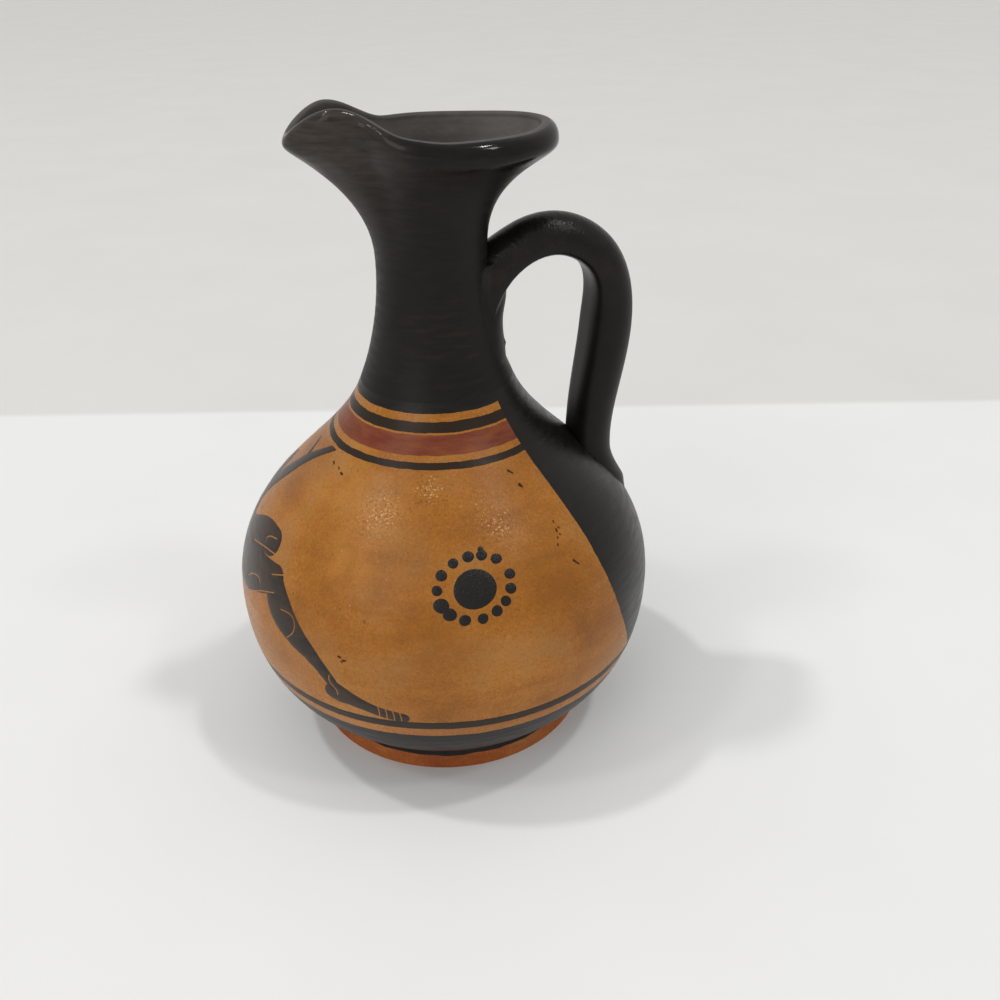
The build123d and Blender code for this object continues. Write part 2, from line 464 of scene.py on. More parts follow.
def spline(knots, points, places, closed=False):
    """Points of the smoothest cubic curve through the points, at these places along its knots."""
    points = np.array(points, float)
    slopes = spline_slopes(knots, points, closed)
    knots = np.array(knots)
    left = np.clip(np.searchsorted(knots, places, side="right") - 1, 0, len(knots) - 2)
    right = (left + 1) % len(points)
    step = (knots[left + 1] - knots[left])[:, None]
    share = (places - knots[left])[:, None] / step
    start = points[left] * (1 + 2 * share) * (1 - share) ** 2
    start = start + slopes[left] * step * share * (1 - share) ** 2
    end = points[right] * share**2 * (3 - 2 * share)
    end = end - slopes[right] * step * share**2 * (1 - share)
    return start + end


def chord_knots(points, closed=False):
    """Share of the whole way at which each point lies, with 1 at the end."""
    points = np.array(points, float)
    ends = np.vstack([points, points[:1]]) if closed else points
    steps = np.linalg.norm(np.diff(ends, axis=0), axis=1)
    return np.concatenate([[0], np.cumsum(steps)]) / steps.sum()


def add_object(name, data):
    """New object in the scene."""
    thing = bpy.data.objects.new(name, data)
    bpy.context.scene.collection.objects.link(thing)
    return thing


def mesh_object(name, vertices, faces):
    """New mesh object, from vertices in millimetres."""
    mesh = bpy.data.meshes.new(name)
    mesh.from_pydata((np.array(vertices) * METRES).tolist(), [], faces)
    return add_object(name, mesh)


def finish_piece(piece, material):
    """Material, smooth shading with crisp edges, and the piece's place on the jug."""
    mesh = piece.data
    mesh.materials.clear()
    mesh.materials.append(material)
    mesh.polygons.foreach_set("use_smooth", [True] * len(mesh.polygons))
    mesh.set_sharp_from_angle(angle=radians(crisp_angle))
    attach(piece, "root")


def grid_faces(rows, columns, rows_closed):
    """Quads of a grid that closes round its columns, and round its rows too if asked."""
    faces = []
    for row in range(rows if rows_closed else rows - 1):
        below = row * columns
        above = (row + 1) % rows * columns
        for column in range(columns):
            beside = (column + 1) % columns
            faces.append((below + column, below + beside, above + beside, above + column))
    return faces


def capped_grid(points):
    """Vertices and faces of a closed tube through rings of points, with a fan over each end."""
    rows, columns = points.shape[:2]
    vertices = list(points.reshape(-1, 3))
    faces = grid_faces(rows, columns, False)
    for row, flip in ((0, True), (rows - 1, False)):
        centre = len(vertices)
        vertices.append(points[row].mean(axis=0))
        for column in range(columns):
            beside = (column + 1) % columns
            corners = (row * columns + column, row * columns + beside, centre)
            faces.append(corners[::-1] if flip else corners)
    return vertices, faces


def spread_points(line, step):
    """The same line with points at an even step."""
    steps = np.linalg.norm(np.diff(line, axis=0), axis=1)
    length = np.concatenate([[0], np.cumsum(steps)])
    places = np.linspace(0, length[-1], max(2, int(length[-1] / step)))
    return np.column_stack([np.interp(places, length, line[:, axis]) for axis in (0, 1)])


# Profile of the thrown body, as (radius, height)
seam_slope = 2 * (seam_radius - waist_radius) / (waist_height - seam_height)
shoulder_radius = seam_radius + seam_slope * shoulder_fullness
inside_radius = belly_radius - body_wall
throat_radius = seam_radius - neck_wall
lower_curve = [
    (base_radius, body_bottom),
    (base_radius + base_pull, body_bottom + base_pull),
    (belly_radius, belly_height - lower_fullness),
    (belly_radius, belly_height),
]
upper_curve = [
    (belly_radius, belly_height),
    (belly_radius, belly_height + upper_fullness),
    (shoulder_radius, seam_height - shoulder_fullness),
    (seam_radius, seam_height),
]
inner_lower_curve = [
    (floor_radius, floor_height),
    (floor_radius + base_pull, floor_height),
    (inside_radius, belly_height - lower_fullness),
    (inside_radius, belly_height),
]
inner_upper_curve = [
    (inside_radius, belly_height),
    (inside_radius, belly_height + upper_fullness - body_wall),
    (shoulder_radius - neck_wall, seam_height - shoulder_fullness),
    (throat_radius, seam_height),
]


def joined(lower, upper):
    """Points along two cubic curves that meet."""
    return np.vstack([bezier(lower, curve_count), bezier(upper, curve_count)[1:]])


outside_profile = joined(lower_curve, upper_curve)
inside_profile = joined(inner_lower_curve, inner_upper_curve)


def neck_radius(height):
    """Outside radius of the round neck."""
    share = np.clip((waist_height - height) / (waist_height - seam_height), 0, None)
    return between(waist_radius, seam_radius, share**2)


def wander(azimuth, height):
    """How far the thrown wall lies inside its true form, from the potter's fingers."""
    slow = np.sin(2 * azimuth + 0.05 * height) + 0.6 * np.sin(3 * azimuth - 0.09 * height + 1.3)
    ridges = np.sin(2 * pi * height / ridge_spacing + 0.8 * np.sin(azimuth) + np.sin(height / 7))
    return throwing_wander * (slow - 1.6) + ridge_depth * (ridges - 1)


def profile_radius(height):
    """Outside radius of the body's true form."""
    return np.interp(height, outside_profile[:, 1], outside_profile[:, 0])


def profile_lean(height):
    """How much that radius grows with each millimetre of height."""
    return profile_radius(height + 0.5) - profile_radius(height - 0.5)


def on_body(azimuth, height, lift):
    """Point of the body's outside at this azimuth in degrees and height, raised by lift along the normal."""
    angle = np.radians(azimuth)
    radius = profile_radius(height) + wander(angle, height)
    lean = profile_lean(height)
    length = np.sqrt(1 + lean**2)
    reach = radius + lift / length
    return np.column_stack([reach * np.cos(angle), reach * np.sin(angle), height - lift * lean / length])


class Nodes:
    """Nodes of a material or of the world."""

    def __init__(self, owner):
        owner.use_nodes = True
        self.nodes = owner.node_tree.nodes
        self.links = owner.node_tree.links

    def node(self, kind, inputs, **settings):
        """New node with these settings, and with values or links at its inputs."""
        node = self.nodes.new(kind)
        for name, value in settings.items():
            setattr(node, name, value)
        for key, value in inputs.items():
            if isinstance(value, bpy.types.NodeSocket):
                self.links.new(value, node.inputs[key])
            else:
                node.inputs[key].default_value = value
        return node

    def math(self, operation, first, second=0.0, third=0.0):
        """Result of one sum."""
        return self.node("ShaderNodeMath", {0: first, 1: second, 2: third}, operation=operation).outputs[0]

    def times(self, first, second):
        """Product of two values."""
        return self.math("MULTIPLY", first, second)

    def span(self, value, low, high, new_low, new_high):
        """Value moved from one range to another, and held within it."""
        inputs = {0: value, 1: low, 2: high, 3: new_low, 4: new_high}
        return self.node("ShaderNodeMapRange", inputs).outputs[0]


class Graph(Nodes):
    """Nodes of one material, with its position on the jug in millimetres."""

    def __init__(self, name):
        self.material = bpy.data.materials.new(name)
        super().__init__(self.material)
        self.shader = self.nodes["Principled BSDF"]
        place = self.node("ShaderNodeTexCoord", {}).outputs["Object"]
        self.position = self.stretched(place, (1 / METRES,) * 3)
        split = self.node("ShaderNodeSeparateXYZ", {0: self.position})
        self.x, self.y, self.height = split.outputs

    def stretched(self, vector, scale):
        """Vector times a scale on each axis."""
        return self.node("ShaderNodeVectorMath", {0: vector, 1: scale}, operation="MULTIPLY").outputs[0]

    def noise(self, grain, detail=3.0, stretch=(1, 1, 1)):
        """Noise with features about this many millimetres across."""
        vector = self.stretched(self.position, stretch)
        inputs = {"Vector": vector, "Scale": 1 / grain, "Detail": detail, "Roughness": 0.6}
        return self.node("ShaderNodeTexNoise", inputs).outputs[0]

    def cells(self, grain):
        """Distance from, and random value of, the nearest of points scattered about this far apart."""
        node = self.node("ShaderNodeTexVoronoi", {"Vector": self.position, "Scale": 1 / grain})
        return node.outputs["Distance"], node.outputs["Color"]

    def nearness(self, azimuth, height, reach):
        """1 at a place on the body, falling to 0 this far from it."""
        centre = on_body(np.array([azimuth]), np.array([height]), 0)[0]
        inputs = {0: self.position, 1: tuple(centre)}
        away = self.node("ShaderNodeVectorMath", inputs, operation="DISTANCE").outputs["Value"]
        return self.span(away, 0.0, reach, 1.0, 0.0)

    def mix(self, share, first, second, blend="MIX"):
        """Colour between two colours."""
        inputs = {0: share, 6: first, 7: second}
        return self.node("ShaderNodeMix", inputs, data_type="RGBA", blend_type=blend).outputs[2]

    def ramp(self, share, stops, interpolation="LINEAR"):
        """Colour by share, from (place, colour) stops in order."""
        node = self.node("ShaderNodeValToRGB", {0: share})
        node.color_ramp.interpolation = interpolation
        elements = node.color_ramp.elements
        elements.remove(elements[1])
        elements[0].position, elements[0].color = stops[0]
        for place, colour in stops[1:]:
            elements.new(place).color = colour
        return node.outputs[0]

    def vary(self, noise, low, high):
        """Noise moved from its usual range to another."""
        return self.span(noise, 0.3, 0.7, low, high)

    def bump(self, height, strength, distance):
        """Surface relief, with its distance in millimetres."""
        inputs = {"Height": height, "Strength": strength, "Distance": distance * METRES}
        self.links.new(self.node("ShaderNodeBump", inputs).outputs[0], self.shader.inputs["Normal"])

    def paint(self, colour, roughness, specular):
        """The material with its colour, its roughness and an even specular level."""
        self.links.new(colour, self.shader.inputs["Base Color"])
        self.links.new(roughness, self.shader.inputs["Roughness"])
        self.shader.inputs["Specular IOR Level"].default_value = specular
        return self.material


def clay_tone(graph, dark, mid, light):
    """Clouded colour of burnished clay, with greyer patches, faint turning streaks and small dark pits."""
    cloud = graph.noise(26, 4)
    streak = graph.noise(16, 4, (1, 1, 5))
    grain = graph.noise(0.6, 4)
    tone = graph.math("MULTIPLY_ADD", cloud, 0.54, graph.times(streak, 0.16))
    tone = graph.math("MULTIPLY_ADD", grain, 0.3, tone)
    colour = graph.ramp(tone, [(0.39, dark), (0.5, mid), (0.61, light)])
    patch = graph.span(graph.noise(13, 5), 0.5, 0.75, 0.0, 0.6)
    colour = graph.mix(patch, colour, clay_grey)
    distance, random = graph.cells(0.8)
    pale_share = graph.span(graph.noise(17, 3), 0.45, 0.7, 0.0, 0.45)
    fleck = graph.math("LESS_THAN", distance, graph.times(graph.math("POWER", random, 3), pale_share))
    colour = graph.mix(graph.times(fleck, 0.55), colour, clay_fleck)
    distance, random = graph.cells(1.9)
    crowd = graph.span(graph.noise(18, 2), 0.35, 0.7, 0.06, 0.3)
    size = graph.times(graph.math("POWER", random, 5), crowd)
    pit = graph.times(graph.math("LESS_THAN", distance, size), 0.6)
    return graph.mix(pit, colour, clay_stain)


def slip_tone(graph, stretch):
    """Black slip brushed on in thicker and thinner strokes, and the strokes themselves."""
    stroke = graph.noise(6, 5, stretch)
    cloud = graph.noise(20, 3)
    thin = graph.math("MULTIPLY_ADD", stroke, 0.6, graph.times(cloud, 0.4))
    colour = graph.ramp(thin, [(0.36, slip_black), (0.56, slip_grey), (0.72, slip_brown)])
    return colour, stroke


def slip_relief(graph, stroke):
    """Height of the brush strokes and of the fine orange-peel skin of dried slip."""
    skin = graph.noise(0.55, 2)
    return graph.math("MULTIPLY_ADD", skin, 0.25, stroke)


def painted_body_material():
    """Burnished clay with its black and red bands, its orange panel and the black back."""
    graph = Graph("painted_terracotta")
    slow = graph.math("SUBTRACT", graph.noise(22, 2), 0.5)
    quick = graph.math("SUBTRACT", graph.noise(2.4, 3), 0.5)
    waver = graph.math("MULTIPLY_ADD", slow, 0.7, graph.times(quick, 0.35))
    place = graph.math("DIVIDE", graph.math("ADD", graph.height, waver), band_scale)
    codes = {"black": (1, 0, 0, 1), "line": (1, 0, 1, 1), "red": (0, 1, 0, 1), "clay": (0, 0, 0, 1)}
    stops = [(start / band_scale, codes[slip]) for start, slip in bands]
    zones = graph.node("ShaderNodeSeparateColor", {0: graph.ramp(place, stops, "CONSTANT")}).outputs
    back = panel_back(graph, waver)
    black = graph.math("MAXIMUM", zones[0], back)
    front = graph.math("SUBTRACT", 1.0, back)
    red = graph.times(zones[1], front)
    line = graph.times(zones[2], front)
    # Clay with its lighter and darker patches, and a painted sheen where the left lamp's highlight falls
    clay = with_patches_and_sheen(graph, clay_tone(graph, clay_dark, clay_mid, clay_light))
    # Painted sparkling highlights, where the lamps' highlights fall on the panel
    clay = with_painted_sparkle(graph, clay)
    slip, stroke = slip_tone(graph, (1, 1, 5))
    red_slip = graph.ramp(stroke, [(0.35, slip_red), (0.7, slip_red_thin)])
    colour = graph.mix(black, graph.mix(red, clay, red_slip), graph.mix(line, slip, line_slip))
    painted = graph.math("MAXIMUM", black, red)
    clay_rough = graph.vary(graph.noise(1.6, 4), 0.24, 0.38)
    slip_rough = graph.vary(stroke, 0.26, 0.42)
    extra = graph.math("SUBTRACT", slip_rough, clay_rough)
    roughness = graph.math("MULTIPLY_ADD", extra, painted, clay_rough)
    relief = graph.math("MULTIPLY_ADD", painted, 0.9, graph.noise(0.5, 3))
    graph.bump(relief, 0.8, 0.07)
    return graph.paint(colour, roughness, specular=0.22)


def with_patches_and_sheen(graph, clay):
    """Clay with the panel's soft lighter and darker patches, the first of them a painted sheen where the left
    lamp's highlight falls.
    """
    patchy = graph.span(graph.noise(5, 4), 0.35, 0.65, 0.15, 0.8)
    for azimuth, height, reach, colour in panel_patches_and_sheen:
        share = graph.times(graph.nearness(azimuth, height, reach), patchy)
        clay = graph.mix(share, clay, colour)
    return clay


def with_painted_sparkle(graph, clay):
    """Clay with painted highlights: clusters of pale grains and small dark pits where the lamps' highlights
    fall.
    """
    crowd = 0.0
    for azimuth, height, reach in painted_sparkle_places:
        crowd = graph.math("MAXIMUM", graph.nearness(azimuth, height, reach), crowd)
    grain = graph.noise(0.5, 2)
    pale = graph.math("GREATER_THAN", grain, graph.span(crowd, 0.0, 1.0, 0.76, 0.56))
    pit = graph.math("LESS_THAN", grain, graph.span(crowd, 0.0, 1.0, 0.33, 0.43))
    clay = graph.mix(graph.times(pale, 0.7), clay, clay_fleck)
    return graph.mix(graph.times(pit, 0.55), clay, clay_stain)


def panel_back(graph, waver):
    """1 on the black back of the body behind the panel's edge, 0 on the panel."""
    from_spout = graph.math("ARCTAN2", graph.y, graph.times(graph.x, -1.0))
    from_spout = graph.times(graph.math("ABSOLUTE", from_spout), degrees(1))
    lean = graph.times(graph.math("SUBTRACT", panel_lean_height, graph.height), panel_lean)
    drop = graph.math("MAXIMUM", graph.math("SUBTRACT", panel_swing_height, graph.height), 0.0)
    swing = graph.times(graph.times(drop, drop), panel_swing)
    edge = graph.math("ADD", graph.math("ADD", lean, swing), panel_half_width)
    edge = graph.math("MULTIPLY_ADD", waver, 1.8, edge)
    return graph.math("GREATER_THAN", from_spout, edge)


def neck_slip_material():
    """Matt black slip brushed round the neck, glossy where it lies thick on the lip, lighter and browner
    towards the spout.
    """
    graph = Graph("black_slip_turned")
    colour, stroke = slip_tone(graph, (1, 1, 6))
    from_spout = graph.span(graph.x, pale_slip_full_reach, pale_slip_end_reach, 1.0, 0.0)
    high = graph.span(graph.height, waist_height, spout_mouth_height, 0.0, 1.0)
    pale_share = graph.times(from_spout, high)
    pale_share = graph.times(pale_share, graph.span(stroke, 0.3, 0.65, 0.35, 1.0))
    colour = graph.mix(pale_share, colour, pale_spout_slip)
    matt = graph.vary(stroke, 0.38, 0.55)
    on_lip = graph.span(graph.height, mouth_height - lip_roll, mouth_height, 0.0, 0.95)
    roughness = graph.math("MULTIPLY_ADD", graph.math("SUBTRACT", lip_gloss, matt), on_lip, matt)
    graph.bump(slip_relief(graph, stroke), 0.4, 0.09)
    return graph.paint(colour, roughness, specular=0.18)


def mouth_slip_material():
    """Thin dusty slip inside the mouth. It also covers the lip's crest, where its pale line is a painted
    highlight.
    """
    graph = Graph("black_slip_inside")
    stroke = graph.noise(7, 5, (1, 1, 3))
    colour = graph.ramp(stroke, [(0.35, dusty_slip), (0.68, dusty_slip_light)])
    roughness = graph.vary(stroke, 0.45, 0.62)
    graph.bump(slip_relief(graph, stroke), 0.3, 0.08)
    return graph.paint(colour, roughness, specular=0.3)


def handle_slip_material():
    """Satin black slip on the pulled handle, its strokes drawn across the strap."""
    graph = Graph("black_slip_pulled")
    colour, stroke = slip_tone(graph, (1, 0.25, 1))
    ripple = graph.noise(1.1, 3, (1, 0.18, 1))
    ripple = graph.times(ripple, graph.span(graph.height, *handle_ripple_heights, 0.15, 2.4))
    matt = graph.span(graph.height, *handle_gloss_heights, 0.45, 0.2)
    roughness = graph.math("MAXIMUM", graph.vary(stroke, 0.2, 0.34), matt)
    graph.bump(graph.math("ADD", ripple, slip_relief(graph, stroke)), 0.6, 0.11)
    return graph.paint(colour, roughness, specular=0.18)


def bare_clay_material():
    """Bare turned clay of the foot, matt and redder than the panel, with black slip over its upper edge."""
    graph = Graph("bare_terracotta")
    waver = graph.span(graph.noise(6, 3), 0.2, 0.8, -foot_slip_waver, foot_slip_waver)
    under_slip = graph.math("GREATER_THAN", graph.math("ADD", graph.height, waver), foot_slip_height)
    slip, _ = slip_tone(graph, (1, 1, 5))
    colour = graph.mix(under_slip, clay_tone(graph, foot_dark, foot_mid, foot_light), slip)
    roughness = graph.vary(graph.noise(1.6, 4), 0.55, 0.75)
    relief = graph.math("MULTIPLY_ADD", graph.noise(3, 3, (1, 1, 9)), 1.5, graph.noise(0.8, 4))
    graph.bump(relief, 0.5, 0.08)
    return graph.paint(colour, roughness, specular=0.35)


def brushed_paint_material():
    """Black paint of the figure, satin and a little streaky."""
    graph = Graph("brushed_black_paint")
    stroke = graph.noise(6, 5, (1, 1, 2))
    colour = graph.ramp(stroke, [(0.34, figure_dark), (0.6, figure_brown)])
    roughness = graph.vary(stroke, 0.25, 0.36)
    graph.bump(slip_relief(graph, stroke), 0.4, 0.07)
    return graph.paint(colour, roughness, specular=0.3)


def thick_paint_material():
    """Thick black paint of the rosettes, lumpy from the brush."""
    graph = Graph("thick_black_paint")
    lump = graph.noise(0.45, 3)
    colour = graph.ramp(lump, [(0.4, slip_black), (0.7, slip_grey)])
    roughness = graph.vary(graph.noise(2.2, 3), 0.2, 0.34)
    graph.bump(lump, 0.9, 0.16)
    return graph.paint(colour, roughness, specular=0.3)


def firing_mark_material():
    """Dark brown scorch and grit left on the panel by the kiln."""
    graph = Graph("firing_marks")
    colour = graph.ramp(graph.noise(0.7, 3), [(0.4, mark_dark), (0.6, mark_light)])
    roughness = graph.vary(graph.noise(1, 2), 0.5, 0.7)
    return graph.paint(colour, roughness, specular=0.15)


painted_body = painted_body_material()
neck_slip = neck_slip_material()
mouth_slip = mouth_slip_material()
handle_slip = handle_slip_material()
bare_clay = bare_clay_material()
brushed_paint = brushed_paint_material()
thick_paint = thick_paint_material()
firing_mark = firing_mark_material()


def turned(profile, shift):
    """Rings of points round the axis, from (radius, height) points, moved in or out by shift at the wall."""
    angle = full_turn(around_count)[None, :]
    height = np.repeat(profile[:, 1:], around_count, axis=1)
    radius = profile[:, :1] + shift(angle, height) * (profile[:, :1] > floor_radius)
    return np.stack([radius * np.cos(angle), radius * np.sin(angle), height], axis=-1)


def unmoved(angle, height):
    """No shift of the wall at any place."""
    return np.zeros_like(height)


def make_foot():
    """Disc foot with its slip, flat underneath and soft at its edge."""
    side_low = np.array([(foot_radius, 0), (foot_radius, foot_edge_round)])
    edge_curve = [(foot_radius - foot_edge_round, 0), side_low[0], side_low[0], side_low[1]]
    edge = bezier(edge_curve, foot_edge_rows)
    rim = [(foot_top_radius + foot_rim_bulge, body_bottom - foot_rim_drop), (foot_top_radius, body_bottom)]
    line = np.vstack([[(cap_radius, 0)], edge, rim, [(cap_radius, body_bottom)]])
    piece = mesh_object("foot_turned", *capped_grid(turned(line, unmoved)))
    finish_piece(piece, bare_clay)
    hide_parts("foot", "foot_luting")


def make_body():
    """Hollow thrown belly, from the middle of its base round to the middle of its floor."""
    outside = spread_points(outside_profile, profile_step)
    inside = spread_points(inside_profile, hidden_step)[::-1]
    base = spread_points(np.array([(cap_radius, body_bottom), outside[0]]), hidden_step)[:-1]
    floor = spread_points(np.array([inside[-1], (cap_radius, floor_height)]), hidden_step)[1:]
    line = np.vstack([base, outside, inside, floor])
    piece = mesh_object("body_thrown", *capped_grid(turned(line, wander)))
    finish_piece(piece, painted_body)
    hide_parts("body")


def mouth_half_outline():
    """Mouth's outline on +Y, from its back to the tip of the spout."""
    points = []
    for angle in (0, pi / 4, pi / 2):
        along = (back_reach - bowl_centre) * cos(angle)
        points.append((bowl_centre + along, bowl_half_width * sin(angle)))
    for share in (0.5, 0.82, 1):
        half_width = between(bowl_half_width, pinch_half_width, share**squeeze_ease)
        points.append((between(bowl_centre, -pinch_reach, share), half_width))
    for share in (0, 0.5, 0.88, 1):
        points.append((between(-lobe_reach, -tip_reach, share), lobe_half_width * (1 - share) ** 0.5))
    return points


def inset(points, depth):
    """Closed outline moved inward by each point's depth, square to the line between its neighbours."""
    along = unit(np.roll(points, -1, axis=0) - np.roll(points, 1, axis=0))
    return points + depth[:, None] * np.column_stack([-along[:, 1], along[:, 0]])


def lip_fullness(reach):
    """How full the lip is at this place along X: 1 round the bowl, 0 at the spout."""
    return ease((reach - roll_start) / (roll_end - roll_start))


half_outline = mouth_half_outline()
mouth_outline = np.array(half_outline + [(x, -y) for x, y in half_outline[-2:0:-1]])
outline_fullness = lip_fullness(mouth_outline[:, 0])
outline_top = between(spout_mouth_height, mouth_height, outline_fullness)
mouth_inside = inset(mouth_outline, between(spout_lip_thickness, lip_thickness, outline_fullness))
mouth_knots = chord_knots(mouth_outline, closed=True)
mouth_places = np.linspace(0, 1, around_count, endpoint=False)
towards_back = (1 + np.cos(2 * pi * mouth_knots[:-1])) / 2

# The two faces of the neck: mouth outline, wall, height where the outline is reached, and flare of each point
outer_flare = between(spout_flare, back_flare, towards_back)
inner_flare = np.full(len(mouth_outline), inside_flare)
outer_face = (mouth_outline, 0, outline_top, outer_flare)
inner_face = (mouth_inside, neck_wall, rim_height - lip_inner_round, inner_flare)


def neck_ring(height, outline, wall, top, flare):
    """Closed curve between the round neck and the mouth's outline."""
    angle = 2 * pi * mouth_knots[:-1]
    circle = (neck_radius(height) - wall) * np.column_stack([np.cos(angle), np.sin(angle)])
    share = np.clip((height - waist_height) / (top - waist_height), 0, 1)
    points = between(circle, outline, (share**flare)[:, None])
    return spline(mouth_knots, points, mouth_places, closed=True)


def rim_line(reach):
    """Height of the mouth's edge, by its place along X."""
    rise = ease((-rise_reach - reach) / (lobe_reach - rise_reach))
    fall = np.clip((-lobe_reach - reach) / (tip_reach - lobe_reach), 0, 1)
    drop = (lobe_height - tip_height) * fall**2 * (3 - 2 * fall)
    drop = drop + tip_slope * (tip_reach - lobe_reach) * fall**2 * (fall - 1)
    return rim_height + (lobe_height - rim_height) * rise - drop


def neck_wall_rows(heights, face):
    """Points of one face of the neck at these heights, one column for each place round it."""
    levels = np.linspace(seam_height, lobe_height, neck_levels)
    table = np.array([neck_ring(level, *face) for level in levels])
    rows = np.zeros(heights.shape + (3,))
    for column in range(around_count):
        for axis in (0, 1):
            rows[:, column, axis] = np.interp(heights[:, column], levels, table[:, column, axis])
    rows[:, :, 2] = heights
    return rows


def neck_outside(rim, roll):
    """Outer face of the neck with its turning marks, up to where the lip starts to roll in."""
    share = np.linspace(0, 1, neck_rows)[:, None]
    heights = between(seam_height, (rim - roll)[None, :], share)
    rows = neck_wall_rows(heights, outer_face)
    angle = np.arctan2(rows[:, :, 1], rows[:, :, 0])
    reach = np.linalg.norm(rows[:, :, :2], axis=2)
    calm = ease((heights - seam_height) / seam_calm)
    rows[:, :, :2] *= (1 + calm * wander(angle, heights) / reach)[:, :, None]
    return rows


def neck_inside(rim):
    """Inner face of the neck, from the lip down to the seam."""
    share = np.linspace(1, 0, neck_rows)[:, None]
    heights = between(seam_height, (rim - lip_inner_round)[None, :], share)
    return neck_wall_rows(heights, inner_face)


def lip_between(outside, inside, rim, roll):
    """Rounded lip from the top of the outer face over its crest to the top of the inner face."""
    turn = np.linspace(0, pi, lip_rows + 2)[1:-1, None]
    outer = turn < pi / 2
    width = np.where(outer, lip_crest, 1 - lip_crest)
    share = lip_crest - width * np.cos(turn)
    lip = between(outside[-1][None], inside[0][None], share[:, :, None])
    lip[:, :, 2] = rim - np.where(outer, roll, lip_inner_round) * (1 - np.sin(turn))
    return lip


def soften(rings, rows, axis):
    """Rings with these rows evened out along one way of the grid."""
    for _ in range(soften_passes):
        middle = (np.roll(rings, 1, axis=axis) + np.roll(rings, -1, axis=axis)) / 2
        rings = between(rings, middle, 0.5 * rows[:, None, None])
    return rings


def make_neck():
    """Thrown neck with its squeezed mouth and rolled lip, down to the seam with the body."""
    dip = rim_wander * (np.sin(4 * pi * mouth_places + 0.7) + np.sin(10 * pi * mouth_places) - 2)
    reach, aside = neck_ring(lobe_height, *outer_face).T
    fullness = lip_fullness(reach)
    rim = rim_line(reach) + dip - near_dip * fullness * ease(-aside / bowl_half_width)
    roll = between(spout_roll, lip_roll, fullness)
    outer = neck_outside(rim, roll)
    inner = neck_inside(rim)
    rings = np.concatenate([outer, lip_between(outer, inner, rim, roll), inner])
    from_crest = np.arange(len(rings)) - neck_rows - lip_rows / 2
    rings = soften(rings, ease(2 - np.abs(from_crest) / (2 * lip_rows)), 1)
    rings = soften(rings, ease((-from_crest - lip_rows / 4) / lip_rows) * ease(4 + from_crest / lip_rows), 0)
    faces = grid_faces(len(rings), around_count, True)
    piece = mesh_object("neck_thrown", rings.reshape(-1, 3), faces)
    finish_piece(piece, neck_slip)
    piece.data.materials.append(mouth_slip)
    # The dusty inside slip starts just outside the lip's crest, and its pale line along the crest is a
    # painted highlight
    first_inner = (neck_rows + dust_and_sheen_from) * around_count
    inner_count = (neck_rows + lip_rows - dust_and_sheen_from - 1) * around_count
    slots = [0] * first_inner + [1] * inner_count + [0] * (len(faces) - first_inner - inner_count)
    piece.data.polygons.foreach_set("material_index", slots)
    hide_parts("neck", "neck_luting")


def strap_swell(share):
    """Growth of the strap at its two roots."""
    upper = np.clip(1 - share / root_share, 0, None)
    lower = np.clip(1 - (1 - share) / root_share, 0, None)
    return 1 + upper_swell * upper**2 + lower_swell * lower**2


def strap_section(share):
    """Strap outline across its path, as (across, outward): round outside and flatter towards the jug."""
    flat = strap_flat_width / 2 * strap_swell(share)
    rise = between(strap_top_thickness, strap_root_thickness, share) / 2 * strap_swell(share)
    radius = (flat**2 + 4 * rise**2) / (4 * rise)
    turn = full_turn(strap_columns)
    across, outward = np.cos(turn), np.sin(turn)
    under = outward < 0
    flat_across = np.sign(across) * np.abs(across) ** inner_square
    swelling = ease((share - bulge_start) / (bulge_full - bulge_start))
    swelling = swelling * ease((bulge_end - share) / (bulge_end - bulge_full))
    depth = 2 * rise - radius + swelling * (inner_bulge + inner_skew * radius * across)
    flat_outward = -np.abs(outward) ** inner_square * depth
    across = np.where(under, flat_across, across) * radius
    outward = np.where(under, flat_outward, outward * radius) + rise - radius
    return across, outward


def clearance(point):
    """How far a point lies outside the body and the neck."""
    reach = np.linalg.norm(point[:, :2], axis=1)
    height = point[:, 2]
    wall = np.where(height > seam_height, neck_radius(height), profile_radius(height))
    return (reach - wall) * clearance_lean


def strap_rings():
    """Rings of the strap along its path, spread where it is pressed on to the jug."""
    places = np.linspace(0, 1, path_rows)
    path = spline(chord_knots(handle_path_points), handle_path_points, places)
    tangent = unit(np.gradient(path, axis=0))
    rings = np.zeros((path_rows, strap_columns, 3))
    for row, share in enumerate(places):
        across, outward = strap_section(share)
        centre = np.array([path[row, 0], 0, path[row, 1]])
        side = np.array([-tangent[row, 1], 0, tangent[row, 0]])
        offset = np.outer(outward, side) + np.outer(across, (0, 1, 0))
        near = np.clip(1 - clearance(centre + offset) / root_fillet_reach, 0, root_fillet_limit)
        lower_fillet = lower_root_fillet * ease(0.5 + outward / strap_root_thickness)
        fillet = upper_root_fillet if share < 0.5 else lower_fillet
        length = np.linalg.norm(offset, axis=1)
        rings[row] = centre + offset * (1 + fillet * near**2 / length)[:, None]
    return rings


def tail_rings():
    """Rings round the neck of the clay that is smoothed down it under the handle's upper root."""
    turn = np.linspace(-pi, pi, 2 * strap_columns, endpoint=False)
    edge = spline(chord_knots(tail_edge_points), tail_edge_points, np.linspace(0, 1, tail_rows))
    side_start, side_end = tail_sides_radians
    sides = ease((np.abs(turn) - side_start) / (side_end - side_start))
    rings = []
    for reach, height in edge:
        wall = neck_radius(height) - tail_sink
        radius = wall + (reach - wall) * np.exp(-((turn * reach / tail_width) ** 2)) - tail_root * sides
        level = np.full(len(turn), height)
        rings.append(np.column_stack([radius * np.cos(turn), radius * np.sin(turn), level]))
    return np.array(rings)


